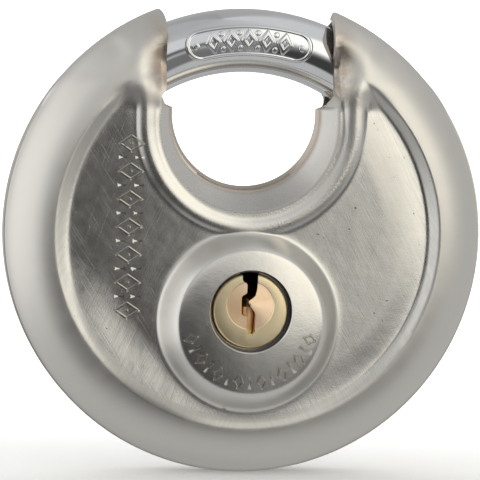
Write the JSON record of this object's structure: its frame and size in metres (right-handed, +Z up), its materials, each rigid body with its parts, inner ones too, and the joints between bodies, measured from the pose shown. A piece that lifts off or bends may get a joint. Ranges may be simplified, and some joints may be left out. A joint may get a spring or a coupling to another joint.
{
  "type": "disc padlock",
  "caption": "Round stainless disc padlock with a shrouded round shackle across a U-shaped opening and a pin-tumbler cylinder set in a round boss.",
  "frame": {"origin": "underside of the shackle at the middle of the opening, on the seam plane, where the padlock hangs on a staple", "axes": "+Z up from the body towards the shackle; the front face with the keyhole looks along -Y; +X to the right seen from the front"},
  "size_m": [0.07, 0.0245, 0.0677],
  "materials": {
    "satin_stainless": "pressed stainless sheet, satin with fine brushing, heat-tinted at the horns",
    "chrome_plate": "polished chrome plate",
    "brass": "machined brass",
    "plain_steel": "plain machined steel",
    "hardened_steel": "dark hardened steel",
    "spring_steel": "drawn spring wire",
    "black_nylon": "moulded nylon"
  },
  "bodies": {
    "case": {"front_shell": "satin_stainless", "rear_shell": "satin_stainless", "cylinder_housing": "brass", "driver_pin_1": "plain_steel", "driver_pin_2": "plain_steel", "driver_pin_3": "plain_steel", "driver_pin_4": "plain_steel", "pin_spring_1": "spring_steel", "pin_spring_2": "spring_steel", "pin_spring_3": "spring_steel", "pin_spring_4": "spring_steel", "chamber_cover": "brass", "anti_drill_plate": "hardened_steel", "chassis_plate": "plain_steel", "chassis_post_left": "plain_steel", "chassis_post_right": "plain_steel", "chassis_screw_left": "plain_steel", "chassis_screw_right": "plain_steel", "shackle_guide_left": "black_nylon", "shackle_guide_right": "black_nylon", "toe_stop": "hardened_steel", "heel_stop": "hardened_steel"},
    "shackle_unit": {"shackle": "chrome_plate", "shackle_arm": "plain_steel", "arm_rivet_1": "plain_steel", "arm_rivet_2": "plain_steel"},
    "plug_unit": {"plug": "brass", "key_pin_1": "brass", "key_pin_2": "brass", "key_pin_3": "brass", "key_pin_4": "brass", "drive_crank": "plain_steel", "crank_screw": "plain_steel"}
  },
  "joints": [
    {"name": "shackle_turn", "type": "hinge", "parent": "case", "child": "shackle_unit", "pos_m": [0, 0, -0.02345], "axis": [0, 1, 0], "range_deg": [0, 66.38]},
    {"name": "plug_turn", "type": "hinge", "parent": "case", "child": "plug_unit", "pos_m": [0, 0, -0.03415], "axis": [0, 1, 0], "range_deg": [0, 180.2]}
  ],
  "couplings": [
    {"joint": "plug_turn", "follows": "shackle_turn", "ratio": 2.7117}
  ]
}
